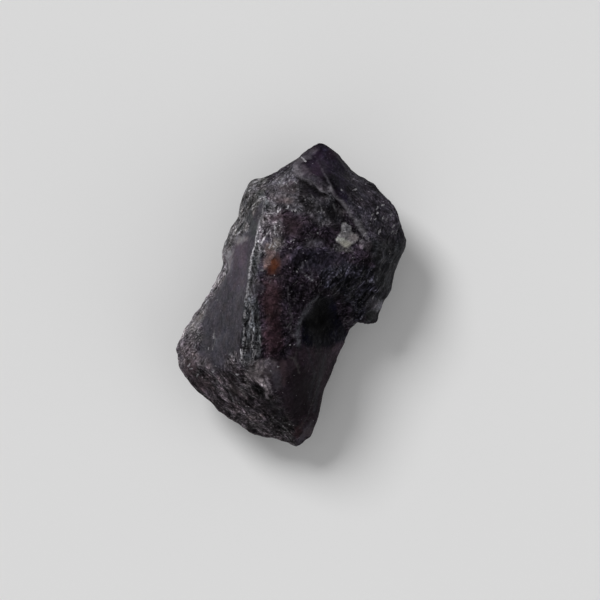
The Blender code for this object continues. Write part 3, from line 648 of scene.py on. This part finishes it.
def shape_lump(mesh, sizes):
    """Break the smooth lump's surface, and return what the finish needs to know about each point."""
    points = read_vectors(mesh.vertices, "co")
    normals = read_vectors(mesh.vertex_normals, "vector")
    plan = points[:, :2]
    top = eased(normals[:, 2] + 0.35 * rippled(points, 2.2 * MM, 13.0), -0.45, -0.05)
    inner = eased(normals[:, 2], 0.05, 0.45)
    off_floor = eased(points[:, 2], 0.1 * MM, 1.2 * MM)
    shares = patch_shares(points, top)
    relief, clouds, steps = np.zeros((3, len(points)))
    bent = curled(points)
    for seed, (name, (height, spacing, heading, stretch, *_)) in enumerate(BREAKS.items()):
        here = shares[name] > 0.01
        crumbs = broken(bent[here], spacing * MM, heading, stretch, 11.0 * seed)
        relief[here] += shares[name][here] * 1.35 * height * MM * crumbs
        drawn = turned(bent[here], heading, stretch)
        wisps = rippled(drawn, 2.4 * MM, 5.0 * seed) + 0.7 * rippled(drawn, 1.1 * MM, 7.0 * seed)
        clouds[here] += shares[name][here] * wisps
    coarseness = sum(shares[name] * row[4] for name, row in BREAKS.items())
    glazed = shares["under"] * eased(rippled(points, 6.0 * MM, 91.0), 0.02, 0.25)
    crumbled = shares["under"] * eased(rippled(points, 4.0 * MM, 97.0), 0.05, 0.3) * (1.0 - glazed)
    dents = 0.5 * MM * shares["under"] * np.abs(rippled(points, 7.0 * MM, 93.0))
    relief = relief * (1.0 - 0.7 * glazed) - dents
    coarseness *= 1.0 - 0.75 * glazed

    for run, height, half_width in RIDGES:
        ridge, _ = nearest_on_run(plan, run)
        steps += height * MM * bell(ridge, half_width)
    ledge, side = nearest_on_run(plan, LEDGE)
    plate = eased(ledge * side, -0.3 * MM, 0.3 * MM)
    edge = eased(ledge * side + 0.3 * relief, -0.12 * MM, 0.12 * MM)
    steps += plate * 0.16 * MM * bell(ledge, 2.0)
    steps -= (1.0 - plate) * 0.10 * MM * bell(ledge, 1.8)
    # How strong the painted shade under the ledge is: stronger high up, and none at the ledge's left end.
    ledge_shade_reach = 0.55 + 0.45 * eased(plan[:, 1], 16.0 * MM, 19.5 * MM)
    ledge_shade_reach *= eased(plan[:, 0], 0.6 * MM, 2.2 * MM)
    raised = eased(inside_patch(plan, CHIP), -0.15 * MM, 0.15 * MM)
    relief *= 1.0 - raised
    striped = broken(points, 0.5 * MM, 70.0, 3.0, 301.0)
    steps += raised * (0.22 + 0.08 * striped) * MM
    steps -= 0.15 * MM * shares["flute"] + 0.25 * MM * shares["lilac"]

    on_edge = 1.0 - 0.6 * eased(-np.abs(normals[:, 2]), -0.35, -0.05)
    broken_lift = (relief - chip_depth(points, coarseness, sizes)) * on_edge
    fuller = sum(blot(plan / MM, x, y, reach, reach) * swell for x, y, reach, swell in SWELLS)
    lift = broken_lift + steps * inner + (SKIN + fuller) * MM
    write_points(mesh, points + normals * (lift * off_floor)[:, None])
    return {
        "points": points,
        "top": top,
        "shares": shares,
        "coarseness": coarseness,
        "relief": np.clip(broken_lift / (0.3 * MM), -1.5, 1.5),
        "clouds": clouds,
        # Painted shade under the ledge, and the ledge's milky edge with a painted highlight where it catches
        # the light.
        "shade": (1.0 - edge) * bell(ledge - 0.5 * MM, 0.8) * inner * ledge_shade_reach,
        "milk_and_highlight": edge * bell(ledge, 0.32) * inner,
        "chip": raised * top,
        "inner": inner,
        "glazed": glazed,
        "crumbled": crumbled,
    }


def paint(mesh, name, values):
    """Keep a number or a colour for each point of a mesh."""
    values = np.asarray(values)
    if values.ndim == 1:
        layer = mesh.attributes.new(name, "FLOAT", "POINT")
        layer.data.foreach_set("value", values.astype(np.float32))
    else:
        layer = mesh.attributes.new(name, "FLOAT_COLOR", "POINT")
        rgba = np.column_stack((values, np.ones(len(values))))
        layer.data.foreach_set("color", rgba.astype(np.float32).ravel())


def pale_lines(plan, inner):
    """How far inside the nearest pale line or painted glint each point is, in millimetres, and how pale that
    line is.
    """
    lines = list(PALE_LINES)
    for x, y, length, heading, paleness in GLINTS:
        turn = math.radians(heading)
        east, north = 0.5 * length * math.cos(turn), 0.5 * length * math.sin(turn)
        lines.append((((x - east, y - north), (x + east, y + north)), GLINT_HALF_WIDTH, paleness))
    inside = np.full(len(plan), -5.0)
    pale = np.zeros(len(plan))
    for run, half_width, paleness in lines:
        away, _ = nearest_on_run(plan, run)
        deep = half_width - away / MM
        pale = np.where(deep > inside, paleness, pale)
        inside = np.maximum(inside, deep)
    return inside - 2.0 * (1.0 - eased(inner, 0.05, 0.5)), pale


def blot(plan, x, y, half_length, half_width, heading=0.0):
    """A soft oval: 1 in its middle and 0 outside it."""
    turn = math.radians(heading)
    along = (plan[:, 0] - x) * math.cos(turn) + (plan[:, 1] - y) * math.sin(turn)
    across = (plan[:, 1] - y) * math.cos(turn) - (plan[:, 0] - x) * math.sin(turn)
    return 1.0 - eased(np.hypot(along / half_length, across / half_width), 0.45, 1.4)


def stained(colour, points, top):
    """The colour with the stains and painted shadows over it, their edges broken by noise, then the tones of
    painted light and shade, and how stained each point is.
    """
    plan = (points[:, :2] + jogged(points, 1.2 * MM, (61.0, 67.0), 0.6)) / MM
    covered = np.zeros(len(plan))
    for *oval, stain, strength in STAINS_AND_SHADOWS:
        amount = strength * blot(plan, *oval) * top
        colour = over(colour, stain, amount)
        covered = np.maximum(covered, amount)
    stops = sum(blot(plan, *tone[:4], *tone[5:]) * tone[4] for tone in TONES) * top
    return colour * (2.0 ** stops)[:, None], covered


def colour_lump(mesh, facts, colours):
    """Paint the patches, stains, painted shade and highlights, wisps and chip, and how coarse, glinting and
    streaked each point is.
    """
    shares, points, top = facts["shares"], facts["points"], facts["top"]
    colour = sum(np.outer(share, np.array(getattr(colours, name))) for name, share in shares.items())
    drift = rippled(points, 5.0 * MM, 43.0)
    ragged = jogged(points, 0.9 * MM, (6.0, 8.0), 0.2)
    colour = over(colour, np.array(colours.cap) * 1.3, 0.7 * facts["glazed"])
    colour = over(colour, colours.brow, 0.5 * facts["crumbled"])
    colour, covered = stained(colour, points, top)
    coarseness = facts["coarseness"] * (1.0 - 0.75 * covered)
    # Tone: slow drift and clouds, and painted shade in the pits with lighter high points, from the relief.
    tone = 0.2 * drift + (0.18 + 0.62 * coarseness) * facts["clouds"] + 0.4 * facts["relief"] * coarseness
    tints = [0.08 * rippled(points, 1.6 * MM, seed) for seed in (47.0, 49.0)]
    colour = colour * np.exp(np.column_stack((tone + tints[0], tone, tone + tints[1])))
    # Painted shade under the ledge, then the milky ledge edge with its painted highlight.
    colour *= (1.0 - 0.85 * facts["shade"])[:, None]
    colour = over(colour, colours.ledge, 0.9 * facts["milk_and_highlight"])
    coarseness *= 1.0 - 0.8 * facts["milk_and_highlight"]
    for run, half_width, wisp, strength in WISPS:
        away, _ = nearest_on_run(points[:, :2] + ragged, run)
        amount = strength * bell(away, half_width) * top
        colour = over(colour, wisp, amount)
        coarseness *= 1.0 - 0.8 * amount
    plan = points[:, :2] / MM
    stripes = rippled(turned(points, 60.0, 3.5), 0.45 * MM, 83.0)
    milky = np.outer(0.75 + 0.45 * stripes, np.array(colours.chip))
    for *oval, mark, strength in CHIP_MARKS:
        milky = over(milky, mark, strength * blot(plan, *oval))
    colour = over(colour, milky, facts["chip"])
    paint(mesh, "stone_colour", np.clip(colour, 0.0, 1.0))
    # Where the painted glints fall.
    clusters = np.clip(0.55 + 1.3 * rippled(points, 1.8 * MM, 53.0), 0.0, 1.4)
    glint_density = sum(shares[name] * row[5] for name, row in BREAKS.items()) * clusters
    paint(mesh, "glint_density", glint_density * (1.0 - facts["chip"]) * (1.0 - 0.7 * covered))
    paint(mesh, "coarseness", coarseness * (1.0 - 0.6 * facts["chip"]))
    leans = [sum(shares[name] * amount for name, amount in lean.items()) for lean in LEANS]
    paint(mesh, "lean", np.column_stack(leans))
    inside, pale = pale_lines(points[:, :2], facts["inner"])
    paint(mesh, "line_inside", inside)
    paint(mesh, "line_pale", pale)


# Materials.


class Value:
    """A number on a wire of a material, so that shader maths reads as Python."""

    def __init__(self, finish, socket):
        self.finish = finish
        self.socket = socket

    def __add__(self, other):
        return self.finish.maths("ADD", self, other)

    __radd__ = __add__

    def __sub__(self, other):
        return self.finish.maths("SUBTRACT", self, other)

    def __rsub__(self, other):
        return self.finish.maths("SUBTRACT", other, self)

    def __mul__(self, other):
        return self.finish.maths("MULTIPLY", self, other)

    __rmul__ = __mul__

    def __pow__(self, other):
        return self.finish.maths("POWER", self, other)

    def __rpow__(self, other):
        return self.finish.maths("POWER", other, self)


class Finish:
    """A material and the one way that nodes are added to it."""

    def __init__(self, name):
        self.material = bpy.data.materials.new(name)
        self.material.use_nodes = True
        self.tree = self.material.node_tree
        self.surface = self.tree.nodes["Principled BSDF"]

    def connect(self, socket, value):
        """A wire or a constant for a socket."""
        if isinstance(value, Value):
            self.tree.links.new(value.socket, socket)
        else:
            socket.default_value = value

    def node(self, kind, settings=None, sockets=None, output=0):
        """A shader node of a kind, with its settings made first, then its sockets given values or wires."""
        made = self.tree.nodes.new("ShaderNode" + kind)
        for name, setting in (settings or {}).items():
            setattr(made, name, setting)
        for name, value in (sockets or {}).items():
            self.connect(made.inputs[name], value)
        return Value(self, made.outputs[output])

    def maths(self, operation, *values):
        """A sum, product or other Math node of values."""
        return self.node("Math", {"operation": operation}, dict(enumerate(values)))

    def set(self, **sockets):
        """Values or wires for the shader's own sockets, such as Base_Color."""
        for name, value in sockets.items():
            self.connect(self.surface.inputs[name.replace("_", " ")], value)

    def painted(self, name, output="Fac"):
        """What is painted on the mesh under a name."""
        return self.node("Attribute", {"attribute_name": name}, output=output)

    def noise(self, place, scale, detail, curl, output="Fac"):
        """Noise from 0 to 1, with curlier edges the more curl it has."""
        sockets = {"Vector": place, "Scale": scale, "Detail": detail, "Distortion": curl}
        return self.node("TexNoise", {}, sockets, output)

    def bent(self, place):
        """A place pushed about by slow noise, so that streaks bend."""
        push = self.noise(place, BENDS, 1.0, 0.0, "Color")
        half = self.node("VectorMath", {"operation": "SUBTRACT"}, {0: push, 1: (0.5, 0.5, 0.5)})
        return self.node("VectorMath", {"operation": "ADD"}, {0: place, 1: self.scaled(half, 2.0 * MM)})

    def parts(self, colour):
        """The three parts of a colour, as numbers."""
        split = self.node("SeparateColor", {}, {"Color": colour})
        return [Value(self, socket) for socket in split.socket.node.outputs]

    def strokes(self, place, scale, glint_density):
        """Separate short strokes from 0 to 1. More cells have one where there are more painted glints."""
        cells = self.node("TexVoronoi", {}, {"Vector": place, "Scale": scale})
        shades = Value(self, cells.socket.node.outputs["Color"])
        chance, strength, _ = self.parts(shades)
        shown = self.stepped(chance + glint_density * 0.5, 0.75, 0.85)
        return (1.0 - self.stepped(cells, 0.12, 0.30)) * shown * (strength * 0.7 + 0.3)

    def scaled(self, colour, amount):
        """A colour made paler or darker."""
        return self.node("VectorMath", {"operation": "SCALE"}, {0: colour, "Scale": amount})

    def blend(self, amount, first, second):
        """A colour between two colours."""
        return self.node("Mix", {"data_type": "RGBA"}, {0: amount, 6: first, 7: second}, 2)

    def stepped(self, value, low, high):
        """From 0 at low to 1 at high, with soft ends."""
        spread = {"Value": value, "From Min": low, "From Max": high}
        return self.node("MapRange", {"interpolation_type": "SMOOTHSTEP"}, spread)


def amethyst_finish():
    """Broken quartz: streaky grain, short strokes, painted glints, pale lines that are partly painted
    highlights, and glassy spots.
    """
    stone = Finish("amethyst_stone")
    place = stone.bent(stone.node("TexCoord", output="Object"))
    colour = stone.painted("stone_colour", "Color")
    coarse = stone.painted("coarseness")
    glint_density = stone.painted("glint_density")
    line_inside = stone.painted("line_inside")
    line_pale = stone.painted("line_pale")
    leans = stone.parts(stone.painted("lean", "Color"))

    grain = stone.noise(place, GRAIN, 4.0, 0.2)
    mottle = stone.noise(place, MOTTLE, 2.0, 0.3)
    rest = 1.0 - (leans[0] + leans[1] + leans[2])
    strokes = 0.0
    for amount, heading in zip(leans, STREAK_HEADINGS):
        turn = (0.0, 0.0, math.radians(heading))
        sockets = {"Vector": place, "Rotation": turn, "Scale": STREAK_STRETCH}
        drawn_place = stone.node("Mapping", {"vector_type": "TEXTURE"}, sockets)
        drawn = stone.noise(drawn_place, DRAWN_GRAIN, 4.0, 0.2)
        grain = grain + (drawn - grain) * amount
        drawn = stone.noise(drawn_place, DRAWN_MOTTLE, 2.0, 0.3)
        mottle = mottle + (drawn - mottle) * amount
        strokes = strokes + stone.strokes(drawn_place, STROKES, glint_density) * (amount + rest * 0.6)
    sparks = stone.noise(place, SPARKS, 1.0, 0.0)
    pits = stone.noise(place, PITS, 2.0, 0.3)

    stops = (grain - 0.5) * 11.5 + (mottle - 0.5) * 4.0 + (sparks - 0.5) * 6.0
    stops = (stops - stone.stepped(pits, 0.55, 0.66) * 1.2) * (coarse * 0.9 + 0.12)
    base = stone.scaled(colour, 2.0 ** stops)
    bright = stone.blend(0.65, stone.scaled(colour, 4.0), STROKE_COLOUR)
    base = stone.blend(strokes * coarse * 0.75, base, bright)
    # Painted glints.
    glint_spot = stone.stepped(sparks + glint_density * 0.16, 0.76, 0.84)
    base = stone.blend(glint_spot * 0.6, base, stone.scaled(GLINT_COLOUR, grain))
    # Pale lines and glints: pale broken edges, partly painted highlights.
    line = stone.stepped(line_inside + (sparks - 0.5) * 0.4, -0.04, 0.10)
    line_colour = stone.scaled(LINE_COLOUR, line_pale * stone.stepped(grain, 0.0, 0.75))
    base = stone.blend(line * 0.9, base, line_colour)
    height = (grain - pits * 0.6 + strokes * 0.5) * (0.06 + coarse)
    bump = stone.node("Bump", {}, {"Strength": 0.9, "Distance": 0.4 * MM, "Height": height})
    glassy = stone.stepped(mottle + sparks, 1.12, 1.22) * coarse * 0.5
    stone.set(Base_Color=base, Roughness=0.5, Normal=bump, Specular_IOR_Level=0.02)
    stone.set(Coat_Weight=glassy, Coat_Roughness=0.25)
    return stone.material


def floor_finish(colour):
    """Matt pale paper."""
    floor = Finish("floor_paper")
    floor.set(Base_Color=(*colour, 1.0), Roughness=0.9, Specular_IOR_Level=0.0)
    return floor.material


# Pieces.


def link(thing):
    """Put a thing in the scene."""
    bpy.context.scene.collection.objects.link(thing)
    return thing


def aim(thing, target):
    """Turn a thing so that it looks at a target."""
    thing.rotation_mode = "QUATERNION"
    thing.rotation_quaternion = (Vector(target) - thing.location).to_track_quat("-Z", "Y")


class AMETHYST_OT_lump(bpy.types.Operator):
    """Model the lump's broken surface and give it its finish"""

    bl_idname = "amethyst.lump"
    bl_label = "Amethyst lump"

    def execute(self, context):
        sizes = context.scene.amethyst_sizes
        colours = context.scene.amethyst_colours
        mesh = fine_copy(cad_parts[NODE], sizes)
        facts = shape_lump(mesh, sizes)
        colour_lump(mesh, facts, colours)
        mesh.shade_smooth()
        mesh.materials.clear()
        mesh.materials.append(amethyst_finish())
        lump = link(bpy.data.objects.new("amethyst_lump", mesh))
        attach(lump, "root")
        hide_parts(NODE)
        return {"FINISHED"}


class AMETHYST_OT_stage(bpy.types.Operator):
    """Lay the floor, hang the lights and place the camera"""

    bl_idname = "amethyst.stage"
    bl_label = "Stage"

    def execute(self, context):
        stage = context.scene.amethyst_stage
        shape = bmesh.new()
        bmesh.ops.create_circle(shape, cap_ends=True, segments=64, radius=FLOOR_RADIUS)
        mesh = bpy.data.meshes.new("floor")
        shape.to_mesh(mesh)
        shape.free()
        mesh.materials.append(floor_finish(stage.floor_colour))
        floor = link(bpy.data.objects.new("floor", mesh))

        # Each light's place in metres, strength, and width in degrees.
        lights = {
            "key": ((-0.48, 0.58, 0.78), stage.key_strength, 22.0),
            "top": ((0.10, 0.10, 1.00), 0.30, 80.0),
            "fill": ((0.75, -0.30, 0.60), 0.34, 60.0),
            "foot": ((-0.35, -0.80, 0.55), 0.30, 60.0),
        }
        for name, (place, strength, spread) in lights.items():
            lamp = bpy.data.lights.new(name, "SUN")
            lamp.energy = strength
            lamp.angle = math.radians(spread)
            light = link(bpy.data.objects.new(name, lamp))
            light.location = place
            aim(light, (0.0, 0.0, 0.0))

        world = bpy.data.worlds.new("studio")
        world.use_nodes = True
        context.scene.world = world
        nodes, links = world.node_tree.nodes, world.node_tree.links
        sky = nodes["Background"]
        sky.inputs["Color"].default_value = (1.0, 1.0, 1.0, 1.0)
        sky.inputs["Strength"].default_value = SKY_STRENGTH
        wall = nodes.new("ShaderNodeBackground")
        wall.inputs["Color"].default_value = WALL_COLOUR
        path = nodes.new("ShaderNodeLightPath")
        pick = nodes.new("ShaderNodeMixShader")
        links.new(path.outputs["Is Camera Ray"], pick.inputs[0])
        links.new(sky.outputs[0], pick.inputs[1])
        links.new(wall.outputs[0], pick.inputs[2])
        links.new(pick.outputs[0], nodes["World Output"].inputs["Surface"])

        lens = bpy.data.cameras.new("camera")
        camera = link(bpy.data.objects.new("camera", lens))
        camera.location = Vector(CENTRE) + Vector((0.0, 0.0, stage.camera_height))
        lens.lens = lens.sensor_width * stage.camera_height / stage.view_width
        context.scene.camera = camera
        context.scene.view_settings.view_transform = "Standard"
        return {"FINISHED"}


class AMETHYST_PT_panel(bpy.types.Panel):
    """Lists the steps that make the lump and its stage"""

    bl_idname = "AMETHYST_PT_panel"
    bl_label = "Amethyst"
    bl_space_type = "VIEW_3D"
    bl_region_type = "UI"
    bl_category = "Amethyst"

    def draw(self, context):
        for step in STEPS:
            self.layout.operator(step.bl_idname)


STEPS = (AMETHYST_OT_lump, AMETHYST_OT_stage)
GROUPS = {"amethyst_sizes": Sizes, "amethyst_colours": Colours, "amethyst_stage": Stage}
CLASSES = (*GROUPS.values(), *STEPS, AMETHYST_PT_panel)


def register():
    """Add the classes and their settings to Blender."""
    for kind in CLASSES:
        bpy.utils.register_class(kind)
    for name, group in GROUPS.items():
        setattr(bpy.types.Scene, name, PointerProperty(type=group))


def unregister():
    """Take them away again."""
    for name in GROUPS:
        delattr(bpy.types.Scene, name)
    for kind in reversed(CLASSES):
        bpy.utils.unregister_class(kind)


def main():
    """Build the lump and its stage."""
    register()
    bpy.ops.amethyst.lump()
    bpy.ops.amethyst.stage()


if __name__ == "__main__":
    main()
